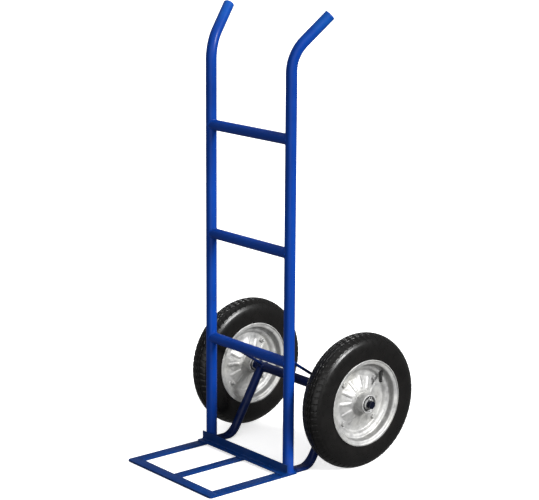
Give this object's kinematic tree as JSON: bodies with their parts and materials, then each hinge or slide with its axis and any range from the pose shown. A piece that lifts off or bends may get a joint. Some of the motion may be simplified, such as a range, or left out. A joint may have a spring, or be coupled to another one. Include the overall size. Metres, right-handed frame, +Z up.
{
  "type": "two-wheeled hand truck",
  "caption": "Upright hand truck: welded tube frame with crossbars and splayed handles, an open toe frame on the floor, and pneumatic wheels on a fixed axle.",
  "frame": {"origin": "on the floor, at the centre of the footprint of the standing truck", "axes": "+Z up along the uprights, +X across the truck along the axle towards the truck's right wheel as seen from the front, -Y towards the front edge of the toe frame and +Y towards the wheels and the person holding the handles"},
  "size_m": [0.563, 0.619, 1.1744],
  "materials": {
    "frame_paint": "glossy blue powder coat over welded steel",
    "zinc_steel": "bright zinc plated pressed steel",
    "bearing_steel": "ground bearing steel",
    "tyre_rubber": "semi-matt black rubber",
    "black_rubber": "smooth black rubber",
    "cap_plastic": "moulded black plastic",
    "plug_plastic": "moulded blue plastic end plug"
  },
  "bodies": {
    "frame": {"crossbar_lower": "frame_paint", "crossbar_middle": "frame_paint", "crossbar_upper": "frame_paint", "toe_front_bar": "frame_paint", "toe_angle_bar": "frame_paint", "toe_middle_bar": "frame_paint", "axle": "frame_paint", "axle_tube": "frame_paint", "upright_left": "frame_paint", "handle_plug_left": "plug_plastic", "toe_side_bar_left": "frame_paint", "stay_left": "frame_paint", "brace_rod_left": "frame_paint", "inner_washer_left": "zinc_steel", "outer_washer_left": "zinc_steel", "split_pin_left": "zinc_steel", "bearing_spacer_left": "bearing_steel", "bearing_inner_rings_left": "bearing_steel", "upright_right": "frame_paint", "handle_plug_right": "plug_plastic", "toe_side_bar_right": "frame_paint", "stay_right": "frame_paint", "brace_rod_right": "frame_paint", "inner_washer_right": "zinc_steel", "outer_washer_right": "zinc_steel", "split_pin_right": "zinc_steel", "bearing_spacer_right": "bearing_steel", "bearing_inner_rings_right": "bearing_steel"},
    "wheel_left": {"hub_left": "zinc_steel", "bearing_outer_rings_left": "bearing_steel", "bearing_balls_left": "bearing_steel", "bearing_cages_left": "bearing_steel", "bearing_seals_left": "black_rubber", "rim_outer_half_left": "zinc_steel", "rim_inner_half_left": "zinc_steel", "rim_bolts_left": "zinc_steel", "rim_nuts_left": "zinc_steel", "tyre_left": "tyre_rubber", "inner_tube_left": "black_rubber", "valve_stem_left": "black_rubber", "valve_cap_left": "cap_plastic"},
    "wheel_right": {"hub_right": "zinc_steel", "bearing_outer_rings_right": "bearing_steel", "bearing_balls_right": "bearing_steel", "bearing_cages_right": "bearing_steel", "bearing_seals_right": "black_rubber", "rim_outer_half_right": "zinc_steel", "rim_inner_half_right": "zinc_steel", "rim_bolts_right": "zinc_steel", "rim_nuts_right": "zinc_steel", "tyre_right": "tyre_rubber", "inner_tube_right": "black_rubber", "valve_stem_right": "black_rubber", "valve_cap_right": "cap_plastic"}
  },
  "joints": [
    {"name": "wheel_left_spin", "type": "hinge", "parent": "frame", "child": "wheel_left", "pos_m": [-0.2265, 0.1315, 0.178], "axis": [1, 0, 0], "continuous": true},
    {"name": "wheel_right_spin", "type": "hinge", "parent": "frame", "child": "wheel_right", "pos_m": [0.2265, 0.1315, 0.178], "axis": [1, 0, 0], "continuous": true}
  ]
}
